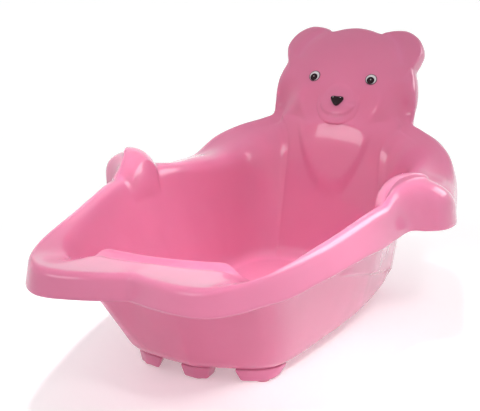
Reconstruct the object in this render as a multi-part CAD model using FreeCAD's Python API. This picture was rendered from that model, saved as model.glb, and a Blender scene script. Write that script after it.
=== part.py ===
"""Baby bathtub with a bear's head and arms: one moulded shell, glazed face parts and a bung drain.

Millimetres. +Z up, +Y towards the bear's head, +X to the right seen from the foot end.
The origin is on the floor under the middle of the tub's bounding box.
"""
import FreeCAD, Part
import math
import os

V = FreeCAD.Vector

# ---------------------------------------------------------------- driving dimensions
FLOOR_TOP = 21.0          # bathing floor above the ground
WALL = 3.0                # moulded wall thickness
SHIFT_Y = -6.4            # moves the outline so that its bounding box is centred on the origin
CORNER_R = 20.0           # reach of the rounding between floor and wall
FLOOR_INSET = 30.0        # the flat floor stops this far inside the floor corner
STEP_OUT = 3.5            # the rear of the outer wall stands out this far above the stacking step
STEP_FRONT_Y = -120.0     # the stacking step starts here
STEP_FRONT_Z = 123.0      # and at this height, falling towards the rear
STEP_FALL = 0.27
HEAD_LEAN = 34.6          # degrees the head leans back from upright
HEAD_FOOT_Y = 331.0       # foot of the head's outline plane
HEAD_FOOT_Z = 234.0
HEAD_FLANGE = 9.0         # depth of the flange turned back round the head
FACE_DOME = 36.0          # the face stands this far out of the head's outline plane
MUZZLE = (24.0, 20.0, 10.0, 6.0)          # half width, half height, height up the lean, depth
PAW = (203.0, 2.0, 190.0, 43.0, 66.0, 44.0)   # centre x, y, z and the three half sizes
PAW_TURN = 0.2            # the paw swings outwards towards the arm
PAW_OUT = 64.0            # half width on its outer side
LIP_BEAD = 5.0            # bead along the top of the foot-end wall
STATION_STEPS = 3         # surface rows between two stations of the outline
GRID = (5, 6, 5, 9, 6, 3)     # points on: floor corner, wall, lip, top, outer edge, skirt

# Right half of the tub, foot end first. Each row is one cross-section:
# floor corner x, y | lip x, y, z | outer top edge x, y, z | skirt's lower edge x, y, z
BODY = [
    ((0, -227), (0, -302, 178), (0, -380, 185), (0, -385, 155)),
    ((16, -223), (28, -300, 178), (30, -394, 185), (31, -400, 156)),
    ((34, -219), (55, -296, 178), (60, -405, 186), (62, -411, 157)),
    ((54, -213), (78, -291, 177), (88, -408, 187), (90, -414, 157)),
    ((75, -205), (98, -292, 168), (110, -401, 189), (113, -406, 157)),
    ((90, -195), (116, -297, 165), (128, -382, 190), (133, -384, 158)),
    ((99, -180), (133, -290, 168), (141, -356, 191), (147, -353, 158)),
    ((105, -159), (146, -265, 180), (152, -318, 193), (161, -312, 156)),
    ((110, -130), (154, -232, 190), (163, -265, 195), (173, -262, 158)),
    ((114, -95), (162, -190, 195), (173, -207, 197), (185, -204, 160)),
    ((118, -58), (170, -140, 200), (182, -147, 201), (196, -140, 162)),
    ((122, -25), (175, -95, 204), (190, -102, 204), (202, -90, 160)),
    ((124, 5), (178, -60, 205), (197, -65, 205), (205, -45, 160)),
    ((125, 20), (179, -30, 205), (207, -30, 205), (210, -5, 160)),
    ((126, 35), (179, -8, 204), (226, -8, 212), (227, 4, 160)),
    ((126, 50), (177, 15, 203), (243, 8, 216), (243, 14, 160)),
    ((126, 64), (175, 35, 203), (252, 32, 214), (253, 36, 159)),
    ((126, 82), (170, 58, 203), (250, 63, 203), (253, 67, 158)),
    ((125, 110), (161, 100, 202), (237, 110, 176), (241, 112, 157)),
    ((123, 145), (151, 150, 200), (221, 167, 179), (227, 171, 158)),
    ((120, 180), (142, 205, 196), (207, 222, 182), (213, 228, 163)),
    ((114, 212), (129, 255, 196), (190, 268, 206), (195, 277, 182)),
    ((101, 240), (108, 285, 197), (163, 303, 221), (166, 315, 199)),
    ((84, 254), (90, 299, 204), (131, 326, 230), (132, 336, 215)),
    ((79, 258), (76, 302, 212), (115, 332, 236), (115, 340, 226)),
]
# Right half of the head's outline, neck first: x, and height up the leaning plane.
HEAD = [
    (115, 19.4), (115.5, 36.5), (113.5, 56), (109.5, 73), (102.5, 88.7),
    (110, 104.5), (112, 120), (106, 136), (95, 148), (79, 155.5),
    (61, 154.5), (48, 150.7), (40, 147), (20, 152.5), (0, 155),
]
CHEST_TOP = (76.0, 295.0, 234.0)          # half width, y and z of the chest's top edge

# Face parts: x and height of each centre
EYE_X = 46.0
EYE_Z = 298.0
EYE_R = 9.0
PUPIL_R = 6.2
PUPIL_DROP = 1.6
NOSE_Z = 269.0
NOSE_W = 23.0
NOSE_H = 16.0
NOSE_SEAT = 1.5
NOSE_BOSS = 8.5
STEM_R = 3.0
SEAT_DEPTH = 0.8
BOSS_DEPTH = 7.0
WASHER_R = 8.0
WASHER_T = 0.8

# Drain
DRAIN_Y = -130.0
DRAIN_WELL_R = 36.0
DRAIN_WELL_Z = 17.5
DRAIN_PAD_R = 42.0
DRAIN_PAD_Z = 14.0
DRAIN_HOLE_R = 20.0
TUBE_R = 19.0
TUBE_BORE_R = 15.0
SEAT_FLANGE_R = 34.0
GASKET_T = 1.2
SEAT_TOP = 20.6
SEAT_MOUTH_R = 18.0
MOUTH_LOW_R = 15.6
MOUTH_LOW = 12.0
TAPER_LOW_R = 15.3        # the seal clears the mouth's cone by 0.3
TAPER_HIGH_R = 17.7
CAP_R = 22.0
CAP_LOW = 20.9
CAP_TOP = 23.5
RING_Z = 25.8             # height of the pull ring's hinge
RING_R = 11.0
RING_WIRE_R = 1.5
NUT_R = 29.0
NUT_LOW = 6.0

# Feet
FOOT_LOW = 2.0
PAD_R = 9.0
PAD_HIGH = 5.0


# ---------------------------------------------------------------- small helpers
def smooth(low, high, x):
    """Smooth step from 0 at low to 1 at high."""
    t = min(1.0, max(0.0, (x - low) / (high - low)))
    return t * t * (3 - 2 * t)


def raised(a, b, reach):
    """The larger of two heights, with the join rounded over the given reach."""
    blend = max(reach - abs(a - b), 0.0) / reach
    return max(a, b) + blend * blend * reach * 0.25


def spline(p0, p1, p2, p3, t):
    """Catmull-Rom curve from p1 to p2."""
    a = p1 * 2
    b = (p2 - p0) * t
    c = (p0 * 2 - p1 * 5 + p2 * 4 - p3) * (t * t)
    d = (p1 * 3 - p0 - p2 * 3 + p3) * (t ** 3)
    return (a + b + c + d) * 0.5


# ---------------------------------------------------------------- cross-sections
def head_stations():
    """Cross-sections round the head: chest, chest top, head outline and its flange."""
    lean = math.radians(HEAD_LEAN)
    rows = []
    for k, (x, up) in enumerate(HEAD, 1):
        f = 1.0 - k / len(HEAD)
        floor = V(79.0 * f, 259.0 - f, FLOOR_TOP)
        lip = V(CHEST_TOP[0] * f, CHEST_TOP[1] + 7 * f * f, CHEST_TOP[2] - 22 * f ** 2.2)
        edge = V(x, HEAD_FOOT_Y + up * math.sin(lean), HEAD_FOOT_Z + up * math.cos(lean))
        back = V(x - (2.0 if x > 60 else 0.0), edge.y + HEAD_FLANGE * math.cos(lean),
                 edge.z - HEAD_FLANGE * math.sin(lean))
        rows.append((floor, lip, edge, back))
    return rows


def stations():
    rows = []
    for floor, lip, outer, skirt in BODY:
        rows.append((V(floor[0], floor[1], FLOOR_TOP), V(*lip), V(*outer), V(*skirt)))
    return rows + head_stations()


STATIONS = stations()
LAST = len(STATIONS) - 1


def station_point(column, k):
    """One station's point, mirrored past either end of the half outline."""
    if k < 0:
        p = STATIONS[-k][column]
        return V(-p.x, p.y, p.z)
    if k > LAST:
        p = STATIONS[2 * LAST - k][column]
        return V(-p.x, p.y, p.z)
    return STATIONS[k][column]


def outline_point(column, s):
    i = min(int(s), LAST - 1)
    before = station_point(column, i - 1)
    here = station_point(column, i)
    there = station_point(column, i + 1)
    if i == 0:
        # The foot end has a V notch on the centre line, so the curve isn't smoothed across it.
        before = here * 2 - there
    return spline(before, here, there, station_point(column, i + 2), s - i)


def rounding(s):
    """Reach of the rounding at the lip and at the outer edge."""
    foot = 1 - smooth(5, 8, s)
    head = smooth(22, 25, s)
    paw = smooth(11, 13, s) * (1 - smooth(17, 20, s))
    arm = smooth(17, 20, s) * (1 - smooth(25, 31, s))
    side = smooth(5.5, 8, s) * (1 - smooth(11, 13, s))
    lip = 9 - 3 * foot + 9 * side + 8 * paw + 24 * arm - 5 * smooth(27, 32, s)
    outer = 13 - 3 * foot + 20 * paw - 6 * head
    return lip, outer


def toward(origin, target, reach, share=0.48):
    """Point on the way from origin to target, at most a share of the way."""
    leg = target - origin
    return origin + leg * (min(reach, share * leg.Length) / leg.Length)


def cross_section(s):
    """Points (with a parameter) from the floor over the wall, lip and rim to the skirt's edge.

    The parameter is 1 at the wall's foot, 2 at the lip, 3 at the outer edge and 4 at the end.
    """
    corner, lip, outer, skirt = [outline_point(c, s) for c in range(4)]
    centre = V(0, 20 + (corner.y - 20) * 0.35, FLOOR_TOP)
    start = toward(corner, centre, FLOOR_INSET, 0.9)
    lip_reach, outer_reach = rounding(s)
    bends = [(start, corner, lip, CORNER_R, GRID[0], 0),
             (corner, lip, outer, lip_reach, GRID[2], GRID[1]),
             (lip, outer, skirt, outer_reach, GRID[4], GRID[3])]
    points = [(start, 0.0)]
    last = start
    for k, (a, b, c, reach, arc_count, leg_count) in enumerate(bends):
        enter = toward(b, a, reach)
        leave = toward(b, c, reach)
        if k == 0:
            points.append((enter, 0.7))
        for j in range(1, leg_count + 1):
            points.append((last + (enter - last) * (j / leg_count), k + 0.8 * j / leg_count))
        for j in range(1, arc_count + 1):
            t = j / arc_count
            p = enter * ((1 - t) ** 2) + b * (2 * t * (1 - t)) + leave * (t * t)
            points.append((p, k + 0.8 + 0.2 * t))
        last = leave
    for j in range(1, GRID[5] + 1):
        points.append((last + (skirt - last) * (j / GRID[5]), 3.0 + j / GRID[5]))
    return points


def face_height(x, up, v, before):
    """How far the face stands out of the leaning plane at x and a height up that plane.

    It starts from the chest's own height, before, and rolls off at the head's outline.
    """
    neck = (1 - smooth(5, 60, up)) * smooth(60, 105, abs(x))
    dome = FACE_DOME * (1 - 0.30 * (x / 100.0) ** 2 - 0.20 * ((up - 40.0) / 80.0) ** 2)
    roll = math.sqrt(max(0.0, 1 - ((v - 2.6) / 0.345) ** 2)) if v > 2.6 else 1.0
    share = smooth(1.98, 2.30, v)
    muzzle = MUZZLE[3] * math.exp(-(x / MUZZLE[0]) ** 2 - ((up - MUZZLE[2]) / MUZZLE[1]) ** 2)
    return before + (dome * roll * (1 - neck) - before) * share + muzzle


def relief(s, v, p):
    """Adds the paw, the bead on the foot-end lip, and the face to a surface point."""
    x, y, z = p.x, p.y, p.z
    if 9 < s < 20 and 1.72 < v < 3.0:
        along = (y - PAW[1]) / PAW[4]
        across = x - PAW[0] - PAW_TURN * max(y - PAW[1], 0.0)
        across /= PAW[3] if across < 0 else PAW_OUT
        inside = 1 - across ** 2 - along ** 2
        if inside > 0:
            dome = raised(z, PAW[2] + PAW[5] * inside ** 0.55, 12.0)
            z += (dome - z) * (1 - smooth(2.7, 3.0, v))
    if s < 4.5:
        along = 1 - smooth(2.9, 3.9, s)
        z += along * LIP_BEAD * math.exp(-((v - 1.93) / 0.10) ** 2)
        z -= along * 4.0 * math.exp(-((v - 2.12) / 0.10) ** 2)
    if s > 22 and 1.85 < v < 2.95:
        lean = math.radians(HEAD_LEAN)
        up = (y - HEAD_FOOT_Y) * math.sin(lean) + (z - HEAD_FOOT_Z) * math.cos(lean)
        before = (z - HEAD_FOOT_Z) * math.sin(lean) - (y - HEAD_FOOT_Y) * math.cos(lean)
        out = (face_height(x, up, v, before) - before) * smooth(22, 26, s)
        y -= out * math.cos(lean)
        z += out * math.sin(lean)
    return V(x, y + SHIFT_Y, z)


# ---------------------------------------------------------------- shell surfaces
def top_grid():
    """Rows of points round the whole tub, starting and ending at the foot-end notch."""
    rows = []
    count = LAST * STATION_STEPS
    for i in range(2 * count + 1):
        s = min(i, 2 * count - i) / STATION_STEPS
        row = [relief(s, v, p) for p, v in cross_section(s)]
        if i > count:
            row = [V(-p.x, p.y, p.z) for p in row]
        rows.append(row)
    return rows


def normals(rows):
    """Unit normals of the grid on its visible side, evened out over their neighbours."""
    m, n = len(rows), len(rows[0])
    field = []
    for i in range(m):
        line = []
        for j in range(n):
            du = rows[min(i + 1, m - 1)][j] - rows[max(i - 1, 0)][j]
            dv = rows[i][min(j + 1, n - 1)] - rows[i][max(j - 1, 0)]
            line.append(dv.cross(du).normalize())
        field.append(line)
    for _ in range(2):
        even = []
        for i in range(m):
            line = []
            for j in range(n):
                total = field[i][j] * 2
                for a, b in ((i - 1, j), (i + 1, j), (i, j - 1), (i, j + 1)):
                    if 0 <= a < m and 0 <= b < n:
                        total = total + field[a][b]
                line.append(total.normalize())
            even.append(line)
        field = even
    for i in range(m):
        field[i][0] = V(0, 0, 1)
        field[i][1] = V(0, 0, 1)
    for i in (0, m - 1):
        for j in range(2, n):
            flat = V(0, field[i][j].y, field[i][j].z)
            field[i][j] = flat.normalize()
    return field


def outer_step(p, v):
    """Extra thickness of the outer wall above the sloping stacking step."""
    line = STEP_FRONT_Z - (p.y - STEP_FRONT_Y) * STEP_FALL
    share = smooth(0, 7, p.z - line) * smooth(STEP_FRONT_Y, STEP_FRONT_Y + 40, p.y)
    return STEP_OUT * share * smooth(0.3, 1.0, v) * (1 - smooth(1.5, 1.8, v))


def under_grid(rows):
    """The hidden side of the shell, one wall thickness behind the visible side."""
    field = normals(rows)
    params = [v for _, v in cross_section(0.0)]
    out = []
    for row, line in zip(rows, field):
        out.append([p - n * (WALL + outer_step(p, v)) for p, n, v in zip(row, line, params)])
    return out


def knots(count):
    """Clamped uniform knots and multiplicities of a cubic curve."""
    inner = count - 3
    values = [float(k) for k in range(inner + 1)]
    return values, [4] + [1] * (inner - 1) + [4]


def skin(rows):
    surface = Part.BSplineSurface()
    u_knots, u_mults = knots(len(rows))
    v_knots, v_mults = knots(len(rows[0]))
    surface.buildFromPolesMultsKnots(rows, u_mults, v_mults, u_knots, v_knots, False, False, 3, 3)
    return surface


def edge_curve(points):
    curve = Part.BSplineCurve()
    values, mults = knots(len(points))
    curve.buildFromPolesMultsKnots(points, mults, values, False, 3)
    return curve.toShape()


def shell_solid():
    """Two skins joined by the floor discs and the skirt's lower edge."""
    top = top_grid()
    under = under_grid(top)
    top_surface = skin(top)
    faces = [top_surface.toShape(), skin(under).toShape()]
    for rows in (top, under):
        ring = edge_curve([row[0] for row in rows])
        faces.append(Part.Face(Part.Wire([ring])))
    lower = Part.makeRuledSurface(edge_curve([row[-1] for row in top]),
                                  edge_curve([row[-1] for row in under]))
    faces.extend(lower.Faces)
    shell = Part.makeShell(faces)
    shell.sewShape()
    solid = Part.makeSolid(shell)
    if solid.Volume < 0:
        solid.reverse()
    return solid, top_surface


# ---------------------------------------------------------------- solid helpers
def cylinder(radius, low, high, x=0.0, y=0.0):
    return Part.makeCylinder(radius, high - low, V(x, y, low))


def ring(outer, inner, low, high, x=0.0, y=0.0):
    return cylinder(outer, low, high, x, y).cut(cylinder(inner, low - 1, high + 1, x, y))


def frustum(r_low, r_high, low, high, x=0.0, y=0.0):
    return Part.makeCone(r_low, r_high, high - low, V(x, y, low))


def polygon(points, z):
    corners = [V(x, y, z) for x, y in points]
    return Part.makePolygon(corners + corners[:1])


def block(low_points, low, high_points, high):
    """Tapered block between two polygons with as many corners."""
    shape = Part.makeLoft([polygon(low_points, low), polygon(high_points, high)], True, True)
    if shape.Volume < 0:
        shape.reverse()
    return shape


def mirrored(points):
    return [(-x, y) for x, y in reversed(points)]


def rounded_polygon(points, radius):
    """Closed wire through the corner points, each rounded with a tangent arc."""
    edges = []
    ends = []
    count = len(points)
    for k, corner in enumerate(points):
        back = (points[k - 1] - corner).normalize()
        ahead = (points[(k + 1) % count] - corner).normalize()
        half = back.getAngle(ahead) / 2
        reach = radius / math.tan(half)
        enter = corner + back * reach
        leave = corner + ahead * reach
        middle = (back + ahead).normalize()
        centre = corner + middle * (radius / math.sin(half))
        edges.append(Part.Arc(enter, centre - middle * radius, leave).toShape())
        ends.append((enter, leave))
    for k in range(count):
        edges.append(Part.makeLine(ends[k][1], ends[(k + 1) % count][0]))
    return Part.Wire(Part.__sortEdges__(edges))


# ---------------------------------------------------------------- face parts
def face_seat(surface, x, z):
    """Placement on the face at the given x and height, with local +Z out of the face."""
    probe = Part.makeLine(V(x, 200, z), V(x, 450, z))
    point = probe.distToShape(surface.toShape())[1][0][0]
    out = surface.normal(*surface.parameter(point))
    if out.y > 0:
        out = out * -1
    across = (V(1, 0, 0) - out * out.x).normalize()
    turn = FreeCAD.Rotation(across, out.cross(across), out, "ZXY")
    return FreeCAD.Placement(point, turn)


def placed(shape, place):
    copy = shape.copy()
    copy.Placement = place
    return copy


def nose_outline(grow):
    """Rounded triangle, flat side up, at the depth of the nose's seat."""
    half = NOSE_W / 2 + grow
    high = NOSE_H * 0.45 + grow
    low = NOSE_H * 0.62 + 1.5 * grow
    corners = [V(-half - 3, high, -NOSE_SEAT), V(0, -low - 3, -NOSE_SEAT), V(half + 3, high, -NOSE_SEAT)]
    return Part.Face(rounded_polygon(corners, 4.5))


def eye_shape():
    """White button with a rounded rim, a pocket for the pupil and a stem behind."""
    body = cylinder(EYE_R, -SEAT_DEPTH, 2.2)
    body = body.makeFillet(1.2, [e for e in body.Edges if e.BoundBox.ZMin > 2.1])
    pocket = cylinder(PUPIL_R + 0.1, 1.0, 6.0, 0, -PUPIL_DROP)
    return body.cut(pocket).fuse(cylinder(STEM_R, -12.0, -SEAT_DEPTH + 0.1)).removeSplitter()


def pupil_shape():
    disc = cylinder(PUPIL_R, 1.0, 2.9, 0, -PUPIL_DROP)
    return disc.makeFillet(0.9, [e for e in disc.Edges if e.BoundBox.ZMin > 2.8])


def nose_shape():
    body = nose_outline(0.0).extrude(V(0, 0, 5.5))
    top = [e for e in body.Edges if e.BoundBox.ZMin > 5.4 - NOSE_SEAT]
    body = body.makeFillet(2.4, top)
    return body.fuse(cylinder(STEM_R, -13.0, 0.1 - NOSE_SEAT)).removeSplitter()


def washer_shape(back):
    """Push-on washer: a thin disc with three gripping slots round the stem."""
    disc = ring(WASHER_R, STEM_R + 0.05, -back - WASHER_T, -back)
    for k in range(3):
        slot = Part.makeBox(3.0, 1.0, 4.0, V(STEM_R, -0.5, -back - 2.0))
        slot.rotate(V(0, 0, 0), V(0, 0, 1), 120 * k)
        disc = disc.cut(slot)
    return disc


# ---------------------------------------------------------------- drain
def drain_seat():
    flange = ring(SEAT_FLANGE_R, TUBE_BORE_R, DRAIN_WELL_Z + GASKET_T, SEAT_TOP)
    tube = ring(TUBE_R, TUBE_BORE_R, 3.0, SEAT_TOP)
    seat = flange.fuse(tube).cut(frustum(MOUTH_LOW_R, SEAT_MOUTH_R, MOUTH_LOW, SEAT_TOP + 0.01))
    for angle in (0, 60, 120):
        bar = Part.makeBox(2 * TUBE_R - 2, 2.4, 2.5, V(1 - TUBE_R, -1.2, 4.0))
        bar.rotate(V(0, 0, 0), V(0, 0, 1), angle)
        seat = seat.fuse(bar)
    return seat.removeSplitter()


def drain_nut():
    """Round backing nut with finger lugs."""
    nut = ring(NUT_R - 3, TUBE_R + 0.15, NUT_LOW, DRAIN_PAD_Z)
    for k in range(8):
        lug = Part.makeBox(6.0, 7.0, 5.0, V(NUT_R - 6, -3.5, NUT_LOW))
        lug.rotate(V(0, 0, 0), V(0, 0, 1), 45 * k)
        nut = nut.fuse(lug)
    return nut.removeSplitter()


def plug_core():
    """Bung with a cap, a hollow-cornered lug for the pull ring and a core for the seal."""
    cap = cylinder(CAP_R, CAP_LOW, CAP_TOP)
    cap = cap.makeFillet(1.0, [e for e in cap.Edges if e.BoundBox.ZMin > CAP_TOP - 0.1])
    core = cylinder(9.0, 11.0, CAP_LOW + 0.5).fuse(cylinder(11.5, 9.5, 11.5))
    lug = Part.makeBox(8.0, 7.0, RING_Z + 2.6 - CAP_TOP + 0.5, V(-4, -3.5, CAP_TOP - 0.5))
    lug = lug.makeFillet(1.5, [e for e in lug.Edges if e.BoundBox.ZMin > RING_Z and e.BoundBox.XLength > 7])
    bore = Part.makeCylinder(RING_WIRE_R + 0.07, 20, V(-10, 0, RING_Z), V(1, 0, 0))
    return cap.fuse(core).fuse(lug).cut(bore).removeSplitter()


def plug_seal():
    """Tapered rubber collar round the bung's core."""
    return frustum(TAPER_LOW_R, TAPER_HIGH_R, 12.0, CAP_LOW).cut(cylinder(9.0, 5, 30))


def plug_ring():
    """D-shaped pull ring: a straight pin through the lug and a half hoop."""
    start = V(RING_R, 0, RING_Z)
    end = V(-RING_R, 0, RING_Z)
    hoop = Part.makeTorus(RING_R, RING_WIRE_R, V(0, 0, RING_Z), V(0, 0, 1))
    hoop = hoop.common(Part.makeBox(60, 30, 20, V(-30, 0, RING_Z - 10)))
    pin = Part.makeCylinder(RING_WIRE_R, 2 * RING_R, end, V(1, 0, 0))
    shape = hoop.fuse(pin)
    for corner in (start, end):
        shape = shape.fuse(Part.makeSphere(RING_WIRE_R, corner))
    return shape.removeSplitter()


# ---------------------------------------------------------------- feet
CORNER_FOOT_TOP = [(48, -217), (74, -208), (90, -197), (99, -184), (103, -166), (62, -166)]
CORNER_FOOT_LOW = [(56, -211), (76, -203), (86, -196), (91, -186), (93, -173), (64, -173)]
CENTRE_FOOT_TOP = [(-20, -225), (0, -230), (20, -225), (20, -194), (-20, -194)]
CENTRE_FOOT_LOW = [(-16, -220), (0, -224), (16, -220), (16, -198), (-16, -198)]
REAR_FOOT_TOP = [(60, 200), (104, 202), (98, 226), (84, 238), (60, 240)]
REAR_FOOT_LOW = [(65, 206), (95, 208), (91, 221), (81, 232), (64, 234)]
FOOT_HIGH = 20.5
PADS = {
    "foot_pad_front_left": (-76, -188),
    "foot_pad_front_right": (76, -188),
    "foot_pad_front_centre": (0, -208),
    "foot_pad_rear_left": (-78, 218),
    "foot_pad_rear_right": (78, 218),
}


def feet():
    shapes = [block(CENTRE_FOOT_LOW, FOOT_LOW, CENTRE_FOOT_TOP, FOOT_HIGH)]
    for low, high in ((CORNER_FOOT_LOW, CORNER_FOOT_TOP), (REAR_FOOT_LOW, REAR_FOOT_TOP)):
        shapes.append(block(low, FOOT_LOW, high, FOOT_HIGH))
        shapes.append(block(mirrored(low), FOOT_LOW, mirrored(high), FOOT_HIGH))
    return shapes


# ---------------------------------------------------------------- assembly
def finished_shell(solid, eye_places, nose_place):
    """Adds feet, bosses and the drain pad to the shell, then cuts seats, holes and pockets."""
    added = feet()
    added.append(cylinder(DRAIN_PAD_R, DRAIN_PAD_Z, FLOOR_TOP - 1.0, 0, DRAIN_Y))
    for place in eye_places:
        added.append(placed(cylinder(EYE_R + 2, -BOSS_DEPTH, -2.0), place))
    added.append(placed(cylinder(11.0, -NOSE_BOSS, -2.6), nose_place))
    body = solid.multiFuse(added)
    removed = [cylinder(DRAIN_WELL_R, DRAIN_WELL_Z, FLOOR_TOP + 5, 0, DRAIN_Y),
               cylinder(DRAIN_HOLE_R, 5, 30, 0, DRAIN_Y)]
    for place in eye_places:
        removed.append(placed(cylinder(EYE_R + 0.2, -SEAT_DEPTH, 8), place))
        removed.append(placed(cylinder(STEM_R + 0.15, -20, 5), place))
    removed.append(placed(nose_outline(0.3).extrude(V(0, 0, 10)), nose_place))
    removed.append(placed(cylinder(STEM_R + 0.15, -25, 5), nose_place))
    for x, y in PADS.values():
        removed.append(cylinder(PAD_R + 0.1, FOOT_LOW - 1, PAD_HIGH, x, y))
    return body.cut(removed)


def build():
    os.makedirs("parts", exist_ok=True)
    solid, surface = shell_solid()
    right = face_seat(surface, EYE_X, EYE_Z)
    left = face_seat(surface, -EYE_X, EYE_Z)
    nose = face_seat(surface, 0.0, NOSE_Z)
    pieces = {"tub_shell": finished_shell(solid, (left, right), nose)}
    for side, place in (("left", left), ("right", right)):
        pieces["eye_" + side] = placed(eye_shape(), place)
        pieces["pupil_" + side] = placed(pupil_shape(), place)
    pieces["nose"] = placed(nose_shape(), nose)
    washers = [placed(washer_shape(BOSS_DEPTH), left), placed(washer_shape(BOSS_DEPTH), right),
               placed(washer_shape(NOSE_BOSS), nose)]
    pieces["face_washers"] = Part.makeCompound(washers)
    drain = {"drain_seat": drain_seat(), "drain_nut": drain_nut(), "drain_plug": plug_core(),
             "drain_gasket": ring(SEAT_FLANGE_R, DRAIN_HOLE_R, DRAIN_WELL_Z, DRAIN_WELL_Z + GASKET_T),
             "plug_seal": plug_seal(), "plug_ring": plug_ring()}
    for name, shape in drain.items():
        shape.translate(V(0, DRAIN_Y, 0))
        pieces[name] = shape
    for name, (x, y) in PADS.items():
        pieces[name] = cylinder(PAD_R, 0.0, PAD_HIGH, x, y)
    for name, shape in pieces.items():
        shape.exportStep("parts/" + name + ".step")
        print(name, shape.isValid(), len(shape.Solids), round(shape.Volume / 1000, 2), "cm3")
    print("ring hinge at", 0.0, DRAIN_Y, RING_Z)
    print(Part.makeCompound(list(pieces.values())).BoundBox)


build()
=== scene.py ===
"""Blender scene of a baby bathtub with a bear's head and arms, moulded in glossy pink plastic.

The tub is one closed skin wrapped round an outline of stations. The outline is in millimetres,
with +Z up and +Y towards the bear's head; everything made from it is turned into metres.
"""
import math

import bpy
from mathutils import Matrix, Vector
from mathutils.bvhtree import BVHTree


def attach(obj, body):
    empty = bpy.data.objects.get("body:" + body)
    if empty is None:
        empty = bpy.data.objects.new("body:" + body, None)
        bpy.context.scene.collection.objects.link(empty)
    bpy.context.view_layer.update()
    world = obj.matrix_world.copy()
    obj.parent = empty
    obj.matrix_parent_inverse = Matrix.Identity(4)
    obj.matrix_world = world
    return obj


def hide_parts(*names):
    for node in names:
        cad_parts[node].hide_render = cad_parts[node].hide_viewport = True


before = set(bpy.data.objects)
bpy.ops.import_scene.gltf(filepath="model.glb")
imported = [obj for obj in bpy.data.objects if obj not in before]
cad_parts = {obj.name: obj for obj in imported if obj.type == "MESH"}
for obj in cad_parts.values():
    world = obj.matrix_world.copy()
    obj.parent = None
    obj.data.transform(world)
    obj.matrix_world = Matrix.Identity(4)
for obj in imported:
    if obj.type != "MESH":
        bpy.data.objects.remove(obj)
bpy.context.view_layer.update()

MM = 0.001

# ---------------------------------------------------------------- the tub's outline
FLOOR_TOP = 21.0          # bathing floor above the ground
WALL = 3.0                # wall thickness
SHIFT_Y = -6.4            # centres the bounding box on the origin
CORNER_R = 20.0           # reach of the rounding between floor and wall
FLOOR_INSET = 30.0        # the flat floor stops this far inside the floor corner
STEP_OUT = 3.5            # the outer wall stands out this far above the stacking step
STEP_FRONT_Y = -120.0     # the stacking step starts here
STEP_FRONT_Z = 123.0      # and at this height, falling towards the rear
STEP_FALL = 0.27
HEAD_LEAN = math.radians(34.6)    # the head leans back this far from upright
LEAN_UP = Vector((0, math.sin(HEAD_LEAN), math.cos(HEAD_LEAN)))
LEAN_OUT = Vector((0, -math.cos(HEAD_LEAN), math.sin(HEAD_LEAN)))
HEAD_FOOT = Vector((0, 331.0, 234.0))     # foot of the head's outline plane
HEAD_FLANGE = 9.0         # depth of the flange turned back round the head
FACE_DOME = 36.0          # the face stands this far out of the leaning plane
PAW = (203.0, 2.0, 190.0, 43.0, 66.0, 44.0)   # centre x, y, z and the three half sizes
PAW_TURN = 0.2            # the paw swings outwards towards the arm
PAW_OUT = 64.0            # half width on its outer side
PAW_STATIONS = (9, 20)    # stations of the outline that the paw lies between
LIP_BEAD = 4.5            # bead along the top of the foot-end wall
LIP_GROOVE = 3.0          # dip behind the bead
LIP_END = 4.5             # station past which there is no bead
HEAD_START = 22           # station from which the chest and face rise

# Chest plate: a U that stands out of the wall under the face
PLATE_HALF = 64.0         # half width at its top
PLATE_LOW = 130.0         # height of the bottom of the U
PLATE_RISE = 95.0         # height of the U itself
PLATE_OUT = 2.4           # it stands out this far
PLATE_RIM = 0.5           # and its rim this much further

# Relief on the face, with heights up the leaning plane
CHIN_OUT = 4.2
CHIN_UP = 12.0
CHIN_HALF = (34.0, 35.0)  # half width and half height
MUZZLE_OUT = 4.6
MUZZLE_UP = 10.0
MUZZLE_HALF = 27.5        # half width
EAR_VALLEY = 2.2          # depth of the dip between ear and head
EAR_ARC = 86.0            # the dip follows a circle of this radius
EAR_ARC_UP = 75.0         # round this height on the middle line

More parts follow.
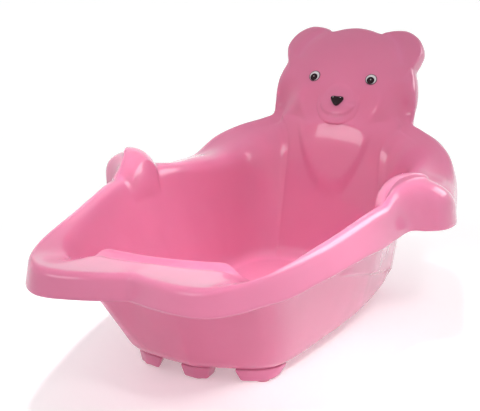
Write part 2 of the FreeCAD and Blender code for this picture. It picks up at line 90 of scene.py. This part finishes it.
# Right half of the tub, foot end first. Each row is one cross-section:
# floor corner x, y | lip x, y, z | outer top edge x, y, z | skirt's lower edge x, y, z
BODY = [
    ((0, -227), (0, -302, 178), (0, -380, 185), (0, -385, 155)),
    ((16, -223), (28, -300, 178), (30, -394, 185), (31, -400, 156)),
    ((34, -219), (55, -296, 178), (60, -405, 186), (62, -411, 157)),
    ((54, -213), (78, -291, 177), (88, -408, 187), (90, -414, 157)),
    ((75, -205), (98, -292, 168), (110, -401, 189), (113, -406, 157)),
    ((90, -195), (116, -297, 165), (128, -382, 190), (133, -384, 158)),
    ((99, -180), (133, -290, 168), (141, -356, 191), (147, -353, 158)),
    ((105, -159), (146, -265, 180), (152, -318, 193), (161, -312, 156)),
    ((110, -130), (154, -232, 190), (163, -265, 195), (173, -262, 158)),
    ((114, -95), (162, -190, 195), (173, -207, 197), (185, -204, 160)),
    ((118, -58), (170, -140, 200), (182, -147, 201), (196, -140, 162)),
    ((122, -25), (175, -95, 204), (190, -102, 204), (202, -90, 160)),
    ((124, 5), (178, -60, 205), (197, -65, 205), (205, -45, 160)),
    ((125, 20), (179, -30, 205), (207, -30, 205), (210, -5, 160)),
    ((126, 35), (179, -8, 204), (226, -8, 212), (227, 4, 160)),
    ((126, 50), (177, 15, 203), (243, 8, 216), (243, 14, 160)),
    ((126, 64), (175, 35, 203), (252, 32, 214), (253, 36, 159)),
    ((126, 82), (170, 58, 203), (250, 63, 203), (253, 67, 158)),
    ((125, 110), (161, 100, 202), (237, 110, 176), (241, 112, 157)),
    ((123, 145), (151, 150, 200), (221, 167, 179), (227, 171, 158)),
    ((120, 180), (142, 205, 196), (207, 222, 182), (213, 228, 163)),
    ((114, 212), (129, 255, 196), (190, 268, 206), (195, 277, 182)),
    ((101, 240), (108, 285, 197), (163, 303, 221), (166, 315, 199)),
    ((84, 254), (90, 299, 204), (131, 326, 230), (132, 336, 215)),
    ((79, 258), (76, 302, 212), (115, 332, 236), (115, 340, 226)),
]
# Right half of the head's outline, neck first: x, and height up the leaning plane.
HEAD = [
    (115, 19.4), (115.5, 36.5), (113.5, 56), (109.5, 73), (105, 88.7),
    (109.5, 104.5), (112, 120), (106, 136), (95, 148), (79, 155.5),
    (61, 154.5), (48, 150.7), (40, 147), (20, 152.5), (0, 155),
]
CHEST_TOP = (76.0, 295.0, 234.0)          # half width, y and z of the chest's top edge

# Surface density: rows per station, then points on each stretch of a cross-section
BODY_STEPS = 6
HEAD_STEPS = 14
TOP_COUNTS = (2, 6, 18, 9, 64, 9, 8)
UNDER_COUNTS = (2, 5, 0, 5, 20, 6, 4)
STEP_BAND = 9.0           # the step's own rows of points reach this far either side of it

# Drain, as the fixed parts need it
DRAIN = Vector((0, -130.0, 0))
WELL_R = 36.0             # round well in the floor that the seat's flange lies in
WELL_Z = 17.5
HOLE_R = 20.0
PAD_R = 42.0              # flat pad underneath for the nut
PAD_Z = 14.0
FLOOR_RINGS = 14          # rings of points from the well to the floor's edge


# ---------------------------------------------------------------- small helpers
def smooth(low, high, x):
    """Smooth step from 0 at low to 1 at high."""
    t = min(1.0, max(0.0, (x - low) / (high - low)))
    return t * t * (3 - 2 * t)


def bell(x, width):
    return math.exp(-(x / width) ** 2)


def cap(r2, power=0.5):
    """Height of a rounded cap of height 1 at squared distance r2 from its middle."""
    return max(0.0, 1.0 - r2) ** power


def raised(a, b, reach):
    """The larger of two heights, with the join rounded over the given reach."""
    blend = max(reach - abs(a - b), 0.0) / reach
    return max(a, b) + blend * blend * reach * 0.25


def spline(p0, p1, p2, p3, t):
    """Catmull-Rom curve from p1 to p2."""
    a = p1 * 2
    b = (p2 - p0) * t
    c = (p0 * 2 - p1 * 5 + p2 * 4 - p3) * (t * t)
    d = (p1 * 3 - p0 - p2 * 3 + p3) * (t ** 3)
    return (a + b + c + d) * 0.5


# ---------------------------------------------------------------- cross-sections
def stations():
    """Floor corner, lip, outer edge and skirt end of every station, foot end to crown."""
    rows = []
    for floor, lip, outer, skirt in BODY:
        rows.append((Vector((*floor, FLOOR_TOP)), Vector(lip), Vector(outer), Vector(skirt)))
    for k, (x, up) in enumerate(HEAD, 1):
        f = 1.0 - k / len(HEAD)
        floor = Vector((79.0 * f, 259.0 - f, FLOOR_TOP))
        lip = Vector((CHEST_TOP[0] * f, CHEST_TOP[1] + 7 * f * f, CHEST_TOP[2] - 22 * f ** 2.2))
        edge = HEAD_FOOT + LEAN_UP * up + Vector((x, 0, 0))
        back = edge - LEAN_OUT * HEAD_FLANGE - Vector((2.0 if x > 60 else 0.0, 0, 0))
        rows.append((floor, lip, edge, back))
    return rows


STATIONS = stations()
LAST = len(STATIONS) - 1
NECK = len(BODY) - 1


def station_point(column, k):
    """One station's point, mirrored past either end of the half outline."""
    mirrored = k < 0 or k > LAST
    if k > LAST:
        k = 2 * LAST - k
    p = STATIONS[abs(k)][column]
    return Vector((-p.x, p.y, p.z)) if mirrored else p


def outline_point(column, s):
    i = max(0, min(int(s), LAST - 1))
    before = station_point(column, i - 1)
    here = station_point(column, i)
    there = station_point(column, i + 1)
    if i == 0:
        before = here * 2 - there
    return spline(before, here, there, station_point(column, i + 2), s - i)


def rounding(s):
    """Reach of the rounding at the lip and at the outer edge."""
    foot = 1 - smooth(5, 8, s)
    head = smooth(22, 25, s)
    paw = smooth(11, 13, s) * (1 - smooth(17, 20, s))
    arm = smooth(17, 20, s) * (1 - smooth(25, 31, s))
    side = smooth(5.5, 8, s) * (1 - smooth(11, 13, s))
    lip = 9 - 3 * foot + 9 * side + 8 * paw + 24 * arm - 5 * smooth(27, 32, s)
    outer = 13 - 3 * foot + 20 * paw - 6 * head
    return lip, outer


def toward(origin, target, reach, share=0.48):
    """Point on the way from origin to target, at most a share of the way."""
    leg = target - origin
    return origin + leg * (min(reach, share * leg.length) / leg.length)


def section(s):
    """The straight legs and rounded bends of one cross-section, floor to skirt."""
    corner, lip, outer, skirt = [outline_point(c, s) for c in range(4)]
    centre = Vector((0, 20 + (corner.y - 20) * 0.35, FLOOR_TOP))
    start = toward(corner, centre, FLOOR_INSET, 0.9)
    lip_reach, outer_reach = rounding(s)
    bends = []
    for a, b, c, reach in ((start, corner, lip, CORNER_R),
                           (corner, lip, outer, lip_reach),
                           (lip, outer, skirt, outer_reach)):
        bends.append((toward(b, a, reach), b, toward(b, c, reach)))
    return start, bends, skirt


def section_point(parts, v):
    """Point at v: 1 is the wall's foot, 2 the lip, 3 the outer edge and 4 the skirt's end.

    The last fifth of every unit is the bend, and the rest is the straight leg before it.
    """
    start, bends, skirt = parts
    k = min(int(v), 3)
    if k == 3:
        return bends[2][2].lerp(skirt, v - 3)
    enter, middle, leave = bends[k]
    t = v - k
    if t <= 0.8:
        before = start if k == 0 else bends[k - 1][2]
        return before.lerp(enter, t / 0.8)
    t = (t - 0.8) / 0.2
    return enter * ((1 - t) ** 2) + middle * (2 * t * (1 - t)) + leave * (t * t)


# ---------------------------------------------------------------- relief
def face_height(x, h, v, before):
    """How far the face stands out of the leaning plane, h being the height up that plane.

    It starts from the chest's own height, before, and rolls off at the head's outline.
    """
    dome = FACE_DOME * (1 - 0.30 * (x / 100.0) ** 2 - 0.20 * ((h - 40.0) / 80.0) ** 2)
    neck = (1 - smooth(5, 60, h)) * smooth(60, 105, abs(x))
    roll = cap(((v - 2.6) / 0.345) ** 2) if v > 2.6 else 1.0
    share = smooth(1.98, 2.30, v)
    return before + (dome * roll * (1 - neck) - before) * share


def face_detail(x, h):
    """Muzzle, chin and ears, in millimetres out of the face."""
    ax = abs(x)
    chin = cap((x / CHIN_HALF[0]) ** 2 + ((h - CHIN_UP) / CHIN_HALF[1]) ** 2, 0.35)
    out = CHIN_OUT * chin * (1 - smooth(2, 34, h))
    high, power = (19.5, 0.4) if h < MUZZLE_UP else (34.0, 0.9)
    out += MUZZLE_OUT * cap((x / MUZZLE_HALF) ** 2 + ((h - MUZZLE_UP) / high) ** 2, power)
    rim = math.hypot(ax, h - EAR_ARC_UP) - EAR_ARC
    at_ear = smooth(40, 58, ax) * smooth(82, 98, h)
    out -= EAR_VALLEY * bell(rim, 9.0) * at_ear
    return out


def plate_height(x, z):
    """Raised U-shaped plate on the bear's chest, running out towards the neck."""
    half = PLATE_HALF * (max(z - PLATE_LOW, 0.0) / PLATE_RISE) ** 0.45
    across = half - abs(x)
    down = z - PLATE_LOW - PLATE_RISE * (abs(x) / PLATE_HALF) ** 2.22
    if across <= 0 or down <= 0:
        return 0.0
    inside = across * down / math.hypot(across, down)
    out = PLATE_OUT * smooth(0, 9, inside) + PLATE_RIM * bell(inside - 7.0, 3.5)
    return out * (1 - smooth(200, 232, z))


def relief(s, v, p, fine):
    """Adds the paw, the lip bead, the chest plate and the face to a surface point."""
    x, y, z = p
    if PAW_STATIONS[0] < s < PAW_STATIONS[1] and 1.72 < v < 3.0:
        along = (y - PAW[1]) / PAW[4]
        across = x - PAW[0] - PAW_TURN * max(y - PAW[1], 0.0)
        across /= PAW[3] if across < 0 else PAW_OUT
        inside = 1 - across ** 2 - along ** 2
        if inside > 0:
            dome = raised(z, PAW[2] + PAW[5] * inside ** 0.55, 12.0)
            z += (dome - z) * (1 - smooth(2.7, 3.0, v))
    if s < LIP_END:
        along = 1 - smooth(2.9, 3.9, s)
        z += along * LIP_BEAD * bell(v - 1.93, 0.07)
        z -= along * LIP_GROOVE * bell(v - 2.08, 0.07)
    if s > HEAD_START and v > 1.0:
        if z > 120 and y > 250 and v < 2.2:
            y -= plate_height(x, z)
        if 1.85 < v < 2.95:
            fade = smooth(HEAD_START, HEAD_START + 4, s)
            h = (p - HEAD_FOOT).dot(LEAN_UP)
            before = (p - HEAD_FOOT).dot(LEAN_OUT)
            out = (face_height(x, h, v, before) - before) * fade
            if fine:
                out += face_detail(x, h) * fade * (1 - smooth(2.8, 2.92, v))
            y += out * LEAN_OUT.y
            z += out * LEAN_OUT.z
    return Vector((x, y + SHIFT_Y, z))


# ---------------------------------------------------------------- rows of points
def even(low, high, count, first=1):
    """Count values from low to high; first=1 leaves out low itself."""
    return [low + (high - low) * j / count for j in range(first, count + 1)]


def stretch_params(counts):
    """Parameter values from the flat floor to the skirt's end."""
    edges = (0.0, 0.8, 1.0, 1.8, 2.0, 2.8, 3.0, 4.0)
    values = [0.0]
    for k, count in enumerate(counts):
        values.extend(even(edges[k], edges[k + 1], count) if count else [])
    return values


TOP_PARAMS = stretch_params(TOP_COUNTS)


def outer_step(p, v):
    """Extra thickness of the outer wall above the sloping stacking step."""
    line = STEP_FRONT_Z - (p.y - STEP_FRONT_Y) * STEP_FALL
    share = smooth(0, 5, p.z - line) * smooth(STEP_FRONT_Y, STEP_FRONT_Y + 40, p.y)
    return STEP_OUT * share * smooth(0.3, 1.0, v) * (1 - smooth(1.5, 1.8, v))


def wall_params(parts):
    """Values on the wall's straight leg, gathered where the stacking step crosses it."""
    low = section_point(parts, 1.0)
    high = section_point(parts, 1.8)
    line = STEP_FRONT_Z - ((low.y + high.y) / 2 + SHIFT_Y - STEP_FRONT_Y) * STEP_FALL
    reach = STEP_BAND / (high.z - low.z)
    at = min(0.9 - reach, max(0.05 + reach, (line + 2 - low.z) / (high.z - low.z)))
    shares = even(0, at - reach, 7) + even(at - reach, at + reach, 8) + even(at + reach, 1, 10)
    return [1.0 + 0.8 * t for t in shares]


def under_params(parts):
    values = stretch_params(UNDER_COUNTS)
    values = [v for v in values if v <= 1.0] + wall_params(parts) + [v for v in values if v > 1.8]
    return sorted(values)


def under_row(s):
    """The hidden side of the shell at s, one wall thickness behind the visible side."""
    here = section(s)
    before = section(s - 0.15)
    after = section(s + 0.15)
    row = []
    for v in under_params(here):
        p = relief(s, v, section_point(here, v), False)
        if v < 0.75:
            normal = Vector((0, 0, 1))
        else:
            low, high = max(v - 0.06, 0.0), min(v + 0.06, 4.0)
            dv = relief(s, high, section_point(here, high), False)
            dv -= relief(s, low, section_point(here, low), False)
            du = relief(s + 0.15, v, section_point(after, v), False)
            du -= relief(s - 0.15, v, section_point(before, v), False)
            normal = dv.cross(du)
            if s == 0 or s == LAST:
                normal.x = 0.0
            normal.normalize()
        row.append(p - normal * (WALL + outer_step(p, v)))
    return row


def ring_point(outside, radius, z):
    """Point of a circle round the drain, in the direction of a point on the floor."""
    way = Vector((outside.x - DRAIN.x, outside.y - DRAIN.y, 0)).normalized()
    return Vector((DRAIN.x, DRAIN.y, z)) + way * radius


def loop_row(s):
    """One closed row: drain hole, floor, wall, rim, skirt, then back along the hidden side."""
    parts = section(s)
    top = [relief(s, v, section_point(parts, v), True) for v in TOP_PARAMS]
    under = under_row(s)
    floor = top[0]
    row = []
    for radius, z in ((HOLE_R, PAD_Z + 0.8), (HOLE_R, WELL_Z - 0.6), (HOLE_R + 0.6, WELL_Z),
                      (WELL_R - 8, WELL_Z), (WELL_R - 0.6, WELL_Z), (WELL_R, WELL_Z + 0.6),
                      (WELL_R, FLOOR_TOP - 1.5), (WELL_R + 0.5, FLOOR_TOP - 0.4),
                      (WELL_R + 1.5, FLOOR_TOP)):
        row.append(ring_point(floor, radius, z))
    inner = row[-1]
    row.extend(inner.lerp(floor, t) for t in even(0, 1, FLOOR_RINGS)[:-1])
    row.extend(top)
    edge = (top[-1] + under[-1]) * 0.5
    drop = (top[-1] - top[-2]).normalized() * 1.2
    row.append(edge + drop)
    row.extend(reversed(under))
    low = under[0]
    rim = ring_point(floor, PAD_R + 1.5, low.z)
    row.extend(low.lerp(rim, t) for t in even(0, 1, 8))
    for radius, z in ((PAD_R, low.z - 0.8), (PAD_R, PAD_Z + 0.8), (PAD_R - 0.8, PAD_Z),
                      (HOLE_R + 8, PAD_Z), (HOLE_R + 0.6, PAD_Z)):
        row.append(ring_point(floor, radius, z))
    return row


def row_params():
    body = even(0, NECK, NECK * BODY_STEPS, 0)
    head = even(NECK, LAST, (LAST - NECK) * HEAD_STEPS)
    return body + head


def mesh_object(name, verts, faces, scale=MM):
    mesh = bpy.data.meshes.new(name)
    mesh.from_pydata([tuple(p * scale) for p in verts], [], faces)
    mesh.validate()
    mesh.update()
    obj = bpy.data.objects.new(name, mesh)
    bpy.context.scene.collection.objects.link(obj)
    for poly in mesh.polygons:
        poly.use_smooth = True
    return obj


def tub_skin():
    """The whole shell as one closed skin."""
    rows = [loop_row(s) for s in row_params()]
    count = len(rows)
    for k in range(count - 2, 0, -1):
        rows.append([Vector((-p.x, p.y, p.z)) for p in rows[k]])
    width = len(rows[0])
    verts = [p for row in rows for p in row]
    faces = []
    for i in range(len(rows)):
        a, b = i * width, (i + 1) % len(rows) * width
        for j in range(width):
            k = (j + 1) % width
            faces.append((a + k, b + k, b + j, a + j))
    return mesh_object("bear_bathtub", verts, faces)


# ---------------------------------------------------------------- materials
def new_material(name):
    mat = bpy.data.materials.new(name)
    mat.use_nodes = True
    nodes = mat.node_tree.nodes
    return mat, nodes, mat.node_tree.links, nodes["Principled BSDF"]


def noise(nodes, links, scale, detail=2.0):
    coords = nodes.new("ShaderNodeTexCoord")
    node = nodes.new("ShaderNodeTexNoise")
    node.inputs["Scale"].default_value = scale
    node.inputs["Detail"].default_value = detail
    links.new(coords.outputs["Object"], node.inputs["Vector"])
    return node.outputs["Fac"]


def ramp(nodes, links, source, stops):
    node = nodes.new("ShaderNodeValToRGB")
    node.color_ramp.elements[0].position = stops[0][0]
    node.color_ramp.elements[0].color = (*stops[0][1], 1)
    node.color_ramp.elements[1].position = stops[1][0]
    node.color_ramp.elements[1].color = (*stops[1][1], 1)
    links.new(source, node.inputs["Fac"])
    return node.outputs["Color"]


def spread(nodes, links, source, low, high):
    node = nodes.new("ShaderNodeMapRange")
    node.inputs["From Min"].default_value = 0.3
    node.inputs["From Max"].default_value = 0.7
    node.inputs["To Min"].default_value = low
    node.inputs["To Max"].default_value = high
    links.new(source, node.inputs["Value"])
    return node.outputs["Result"]


def bump(nodes, links, bsdf, source, distance, strength):
    node = nodes.new("ShaderNodeBump")
    node.inputs["Strength"].default_value = strength
    node.inputs["Distance"].default_value = distance
    links.new(source, node.inputs["Height"])
    links.new(node.outputs["Normal"], bsdf.inputs["Normal"])


def moulded(name, dark, light, rough=(0.24, 0.32), grain=900.0, grain_depth=0.00004):
    """Moulded material: slow colour drift, uneven gloss and a fine orange-peel surface."""
    mat, nodes, links, bsdf = new_material(name)
    drift = noise(nodes, links, 7.0, 3.0)
    links.new(ramp(nodes, links, drift, ((0.3, dark), (0.7, light))), bsdf.inputs["Base Color"])
    links.new(spread(nodes, links, noise(nodes, links, 25.0, 4.0), *rough), bsdf.inputs["Roughness"])
    bump(nodes, links, bsdf, noise(nodes, links, grain, 1.0), grain_depth, 0.5)
    return mat, bsdf


def tub_plastic():
    mat, bsdf = moulded("tub_pink_plastic", (0.57, 0.16, 0.28), (0.61, 0.175, 0.3), (0.16, 0.24))
    bsdf.inputs["Subsurface Weight"].default_value = 0.15
    bsdf.inputs["Subsurface Radius"].default_value = (1.0, 0.35, 0.5)
    bsdf.inputs["Subsurface Scale"].default_value = 0.012
    bsdf.inputs["Coat Weight"].default_value = 0.5
    bsdf.inputs["Specular IOR Level"].default_value = 0.2
    bsdf.inputs["Coat Roughness"].default_value = 0.05
    bsdf.inputs["IOR"].default_value = 1.48
    return mat


# ---------------------------------------------------------------- feet
FOOT_LOW = 2.0            # the soft pads carry the feet this far above the ground
FOOT_HIGH = 19.6
FOOT_SOFTNESS = 3.5       # width of the rounding on a foot's edges
CORNER_FOOT_TOP = [(48, -217), (74, -208), (90, -197), (99, -184), (103, -166), (62, -166)]
CORNER_FOOT_LOW = [(56, -211), (76, -203), (86, -196), (91, -186), (93, -173), (64, -173)]
CENTRE_FOOT_TOP = [(-20, -225), (0, -230), (20, -225), (20, -194), (-20, -194)]
CENTRE_FOOT_LOW = [(-16, -220), (0, -224), (16, -220), (16, -198), (-16, -198)]
REAR_FOOT_TOP = [(60, 200), (104, 202), (98, 226), (84, 238), (60, 240)]
REAR_FOOT_LOW = [(65, 206), (95, 208), (91, 221), (81, 232), (64, 234)]


def mirrored(points):
    return [(-x, y) for x, y in reversed(points)]


def foot_block(low, high):
    """One moulded foot: a tapered block with soft edges."""
    verts = [Vector((x, y, FOOT_LOW)) for x, y in low] + [Vector((x, y, FOOT_HIGH)) for x, y in high]
    n = len(low)
    faces = [tuple(range(n - 1, -1, -1)), tuple(range(n, 2 * n))]
    faces += [(k, (k + 1) % n, n + (k + 1) % n, n + k) for k in range(n)]
    foot = mesh_object("foot_block", verts, faces)
    bevel = foot.modifiers.new("soft", "BEVEL")
    bevel.width = FOOT_SOFTNESS * MM
    bevel.segments = 4
    bevel.limit_method = "ANGLE"
    bevel.angle_limit = math.radians(25)
    return foot


def feet_blocks():
    pairs = [(CENTRE_FOOT_LOW, CENTRE_FOOT_TOP)]
    for low, high in ((CORNER_FOOT_LOW, CORNER_FOOT_TOP), (REAR_FOOT_LOW, REAR_FOOT_TOP)):
        pairs += [(low, high), (mirrored(low), mirrored(high))]
    return [foot_block(low, high) for low, high in pairs]


def evaluated_mesh(obj):
    graph = bpy.context.evaluated_depsgraph_get()
    return bpy.data.meshes.new_from_object(obj.evaluated_get(graph))


def merged(body, others):
    """Welds the other solids to body and removes them."""
    for other in others:
        union = body.modifiers.new("union", "BOOLEAN")
        union.operation = "UNION"
        union.solver = "MANIFOLD"
        union.object = other
    body.data = evaluated_mesh(body)
    body.modifiers.clear()
    for other in others:
        bpy.data.objects.remove(other)


# ---------------------------------------------------------------- face parts
EYE_X = 46.0
EYE_UP = 54.5             # heights up the leaning plane
NOSE_UP = 13.6
EYE_R = 8.2
OUTLINE_WIRE = 0.8        # half thickness of the dark ring round an eye
PUPIL_R = 6.1
PUPIL_PLACE = (-0.4, -1.9)    # the pupils look down and a little to one side
NOSE_HALF = [(0, 6.6), (6.0, 6.9), (9.2, 5.9), (10.2, 3.6), (9.2, 0.4), (6.2, -4.2), (3.2, -7.6), (0, -8.8)]


def face_place(tree, x, up):
    """Matrix on the face at x and up the leaning plane: local +Z out of it, local +Y up."""
    start = (HEAD_FOOT + LEAN_UP * up + LEAN_OUT * 120.0 + Vector((x, SHIFT_Y, 0))) * MM
    point, normal, _, _ = tree.ray_cast(start, -LEAN_OUT)
    across = (Vector((1, 0, 0)) - normal * normal.x).normalized()
    turn = Matrix((across, normal.cross(across), normal)).transposed().to_4x4()
    return Matrix.Translation(point) @ turn


def domed(name, outline, profile, place, offset=(0, 0)):
    """Closed solid whose outline is scaled and lifted along a profile of (share, height)."""
    verts = []
    faces = []
    n = len(outline)
    for share, height in profile:
        verts += [Vector((x * share + offset[0], y * share + offset[1], height)) for x, y in outline]
    for k in range(len(profile) - 1):
        for j in range(n):
            a, b = k * n + j, k * n + (j + 1) % n
            faces.append((a, b, b + n, a + n))
    faces.append(tuple(range(n - 1, -1, -1)))
    faces.append(tuple((len(profile) - 1) * n + j for j in range(n)))
    obj = mesh_object(name, verts, faces)
    obj.data.transform(place)
    return obj


def circle(radius, count=48):
    return [(radius * math.cos(2 * math.pi * k / count), radius * math.sin(2 * math.pi * k / count))
            for k in range(count)]


def crown(base, height, steps=12):
    """Lens-shaped crown above a short side."""
    rows = [(1.0, -1.5), (1.0, base)]
    for k in range(1, steps + 1):
        t = k / steps
        rows.append((max(math.sqrt(1 - t * t), 0.03), base + (height - base) * t))
    return rows


def smooth_outline(half):
    """Closed curve through the points of a right half, mirrored to the left."""
    points = [Vector((x, y, 0)) for x, y in half]
    points += [Vector((-x, y, 0)) for x, y in reversed(half[1:-1])]
    n = len(points)
    curve = []
    for k in range(n):
        for j in range(6):
            p = spline(points[k - 1], points[k], points[(k + 1) % n], points[(k + 2) % n], j / 6)
            curve.append((p.x, p.y))
    return list(reversed(curve))


def outline_ring(name, radius, wire, place):
    """Thin dark ring moulded round an eye."""
    verts = []
    faces = []
    around, tube = 64, 10
    for k in range(around):
        a = 2 * math.pi * k / around
        for j in range(tube):
            b = 2 * math.pi * j / tube
            reach = radius + wire * math.cos(b)
            verts.append(Vector((reach * math.cos(a), reach * math.sin(a), 0.35 + 0.6 * math.sin(b))))
    for k in range(around):
        for j in range(tube):
            a, b = k * tube, (k + 1) % around * tube
            faces.append((a + j, b + j, b + (j + 1) % tube, a + (j + 1) % tube))
    obj = mesh_object(name, verts, faces)
    obj.data.transform(place)
    return obj


def add_piece(obj, material, replaced=()):
    obj.data.materials.append(material)
    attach(obj, "tub")
    for node in replaced:
        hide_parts(node)
    return obj


def face_parts(tree):
    # The white serves the eye whites and also the painted highlights (glints) on the pupils and nose
    white, _ = moulded("eye_white_and_painted_glints", (0.52, 0.48, 0.50), (0.60, 0.56, 0.58), (0.12, 0.18))
    black, glaze = moulded("eye_black_enamel", (0.010, 0.003, 0.006), (0.018, 0.006, 0.010), (0.08, 0.14))
    glaze.inputs["Specular IOR Level"].default_value = 0.15
    glaze.inputs["Coat Weight"].default_value = 0.1
    dark, _ = moulded("eye_outline_paint", (0.055, 0.018, 0.035), (0.09, 0.03, 0.055), (0.3, 0.4))
    for side, x in (("left", -EYE_X), ("right", EYE_X)):
        place = face_place(tree, x, EYE_UP)
        eye = domed("eye_white_" + side, circle(EYE_R), crown(0.5, 2.0), place)
        add_piece(eye, white, ["eye_" + side])
        ring = outline_ring("eye_outline_" + side, EYE_R + 0.25, OUTLINE_WIRE, place)
        add_piece(ring, dark)
        pupil = domed("eye_pupil_" + side, circle(PUPIL_R), crown(1.2, 3.0), place, PUPIL_PLACE)
        add_piece(pupil, black, ["pupil_" + side])
        # Painted highlight: a white dot on each pupil stands in for a lamp's reflection
        glint = domed("eye_painted_glint_" + side, circle(0.95, 24), crown(2.6, 3.25), place, (-0.2, -1.5))
        add_piece(glint, white)
    place = face_place(tree, 0.0, NOSE_UP)
    nose = domed("nose_black", smooth_outline(NOSE_HALF), crown(1.6, 4.6), place)
    add_piece(nose, black, ["nose"])
    # Painted highlights: two white ovals on the nose stand in for the reflections of two lamps
    for side, x in (("left", -5.6), ("right", 5.6)):
        oval = [(a * 1.9, b * 1.1) for a, b in circle(1.0, 24)]
        glint = domed("nose_painted_glint_" + side, oval, crown(2.6, 4.05), place, (x, 4.0))
        add_piece(glint, white)


# ---------------------------------------------------------------- parts kept from the frame
def restyle(nodes, material):
    """New material on the fixed parts' own slots."""
    for name in nodes:
        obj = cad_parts[name]
        if not obj.material_slots:
            obj.data.materials.append(material)
        for place in obj.material_slots:
            place.material = material


def fixed_parts():
    drain, _ = moulded("drain_white_plastic", (0.74, 0.70, 0.71), (0.80, 0.77, 0.78), (0.25, 0.35))
    restyle(["drain_seat", "drain_nut"], drain)
    bung, _ = moulded("bung_rose_plastic", (0.62, 0.10, 0.22), (0.68, 0.12, 0.25), (0.22, 0.30))
    restyle(["drain_plug", "plug_ring"], bung)
    seal, _ = moulded("seal_grey_rubber", (0.20, 0.19, 0.19), (0.26, 0.25, 0.25), (0.55, 0.7), 1500.0, 0.0001)
    restyle(["drain_gasket", "plug_seal"], seal)
    pad, _ = moulded("pad_pink_rubber", (0.50, 0.13, 0.22), (0.56, 0.15, 0.25), (0.6, 0.75), 1200.0, 0.0001)
    restyle([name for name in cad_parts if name.startswith("foot_pad")], pad)
    steel, shine = moulded("washer_spring_steel", (0.42, 0.42, 0.44), (0.55, 0.55, 0.57), (0.25, 0.4))
    shine.inputs["Metallic"].default_value = 1.0
    restyle(["face_washers"], steel)


# ---------------------------------------------------------------- the pieces
tub = tub_skin()
merged(tub, feet_blocks())
for face in tub.data.polygons:
    face.use_smooth = True
tub.data.materials.clear()
tub.data.materials.append(tub_plastic())
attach(tub, "tub")
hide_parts("tub_shell")
skin_tree = BVHTree.FromPolygons([v.co for v in tub.data.vertices], [p.vertices for p in tub.data.polygons])
face_parts(skin_tree)
fixed_parts()


# ---------------------------------------------------------------- stage, lights and camera
FLOOR_REACH = 40.0        # metres from the middle to each side
FLOOR_GLOW = 0.3
SKY_LOW = 1.04            # strength of the surroundings at the horizon
SKY_HIGH = 0.72           # and from SKY_LEVEL upwards
SKY_LEVEL = 0.6
CAMERA_PLACE = (0.65835, -1.63073, 0.62059)
CAMERA_TILT = 75.649      # degrees up from looking straight down
CAMERA_TURN = 23.0        # degrees round from looking along +Y
LENS = 100.4
WIDE = 180                # beam of a light with no narrowing, in degrees

# Each light: name, size, power, place, aimed at, beam, and whether it only shows in the gloss
LIGHTS = (
    ("key", (2.2, 2.0), 3.0, (1.6, 0.45, 1.6), (0.1, -0.1, 0.15), WIDE, False),
    ("top", (0.3, 0.5), 1.2, (0.0, -0.25, 1.8), (0, -0.06, 0.0), 26, False),
    ("front_right", (0.3, 0.3), 0.36, (0.75, -1.05, 1.15), (0.12, -0.16, 0.19), 22, False),
    ("side_panel", (0.9, 0.6), 8.0, (1.0, 0.85, 0.75), (-0.1, 0.2, 0.17), WIDE, True),
    ("chest_panel", (1.3, 0.36), 8.5, (-0.5, -1.7, 0.94), (0.01, 0.29, 0.22), WIDE, True),
)


def area_light(name, size, power, place, target, beam, mirrored_only):
    """Rectangular light that either lights the scene or only shows in the gloss."""
    data = bpy.data.lights.new(name, "AREA")
    data.shape = "RECTANGLE"
    data.size, data.size_y = size
    data.energy = power
    data.spread = math.radians(beam)
    obj = bpy.data.objects.new(name, data)
    obj.location = place
    obj.rotation_euler = (Vector(target) - Vector(place)).to_track_quat("-Z", "Y").to_euler()
    obj.visible_camera = False
    obj.visible_glossy = mirrored_only
    obj.visible_diffuse = not mirrored_only
    bpy.context.scene.collection.objects.link(obj)


def pale_floor():
    corners = ((-1, -1), (1, -1), (1, 1), (-1, 1))
    verts = [Vector((x * FLOOR_REACH, y * FLOOR_REACH, 0.0)) for x, y in corners]
    floor = mesh_object("floor", verts, [(0, 1, 2, 3)], 1.0)
    mat, nodes, links, bsdf = new_material("floor_white")
    tones = ((0.3, (0.9, 0.9, 0.9)), (0.7, (0.93, 0.93, 0.93)))
    links.new(ramp(nodes, links, noise(nodes, links, 3.0), tones), bsdf.inputs["Base Color"])
    bsdf.inputs["Roughness"].default_value = 0.6
    bsdf.inputs["Emission Color"].default_value = (1, 1, 1, 1)
    bsdf.inputs["Emission Strength"].default_value = FLOOR_GLOW
    floor.data.materials.append(mat)


def surroundings():
    """Soft white surroundings, brightest at the horizon."""
    world = bpy.data.worlds.new("studio")
    world.use_nodes = True
    nodes, links = world.node_tree.nodes, world.node_tree.links
    backdrop = nodes["Background"]
    backdrop.inputs["Color"].default_value = (1, 1, 1, 1)
    coords = nodes.new("ShaderNodeTexCoord")
    axes = nodes.new("ShaderNodeSeparateXYZ")
    fade = nodes.new("ShaderNodeMapRange")
    fade.inputs["From Max"].default_value = SKY_LEVEL
    fade.inputs["To Min"].default_value = SKY_LOW
    fade.inputs["To Max"].default_value = SKY_HIGH
    links.new(coords.outputs["Generated"], axes.inputs["Vector"])
    links.new(axes.outputs["Z"], fade.inputs["Value"])
    links.new(fade.outputs["Result"], backdrop.inputs["Strength"])
    bpy.context.scene.world = world


def studio():
    surroundings()
    for light in LIGHTS:
        area_light(*light)
    bpy.context.scene.view_settings.view_transform = "Standard"


def viewing_camera():
    data = bpy.data.cameras.new("camera")
    data.lens = LENS
    data.sensor_width = 36.0
    data.clip_start = 0.05
    data.clip_end = 200.0
    obj = bpy.data.objects.new("camera", data)
    obj.location = CAMERA_PLACE
    obj.rotation_euler = (math.radians(CAMERA_TILT), 0, math.radians(CAMERA_TURN))
    bpy.context.scene.collection.objects.link(obj)
    bpy.context.scene.camera = obj


pale_floor()
studio()
viewing_camera()
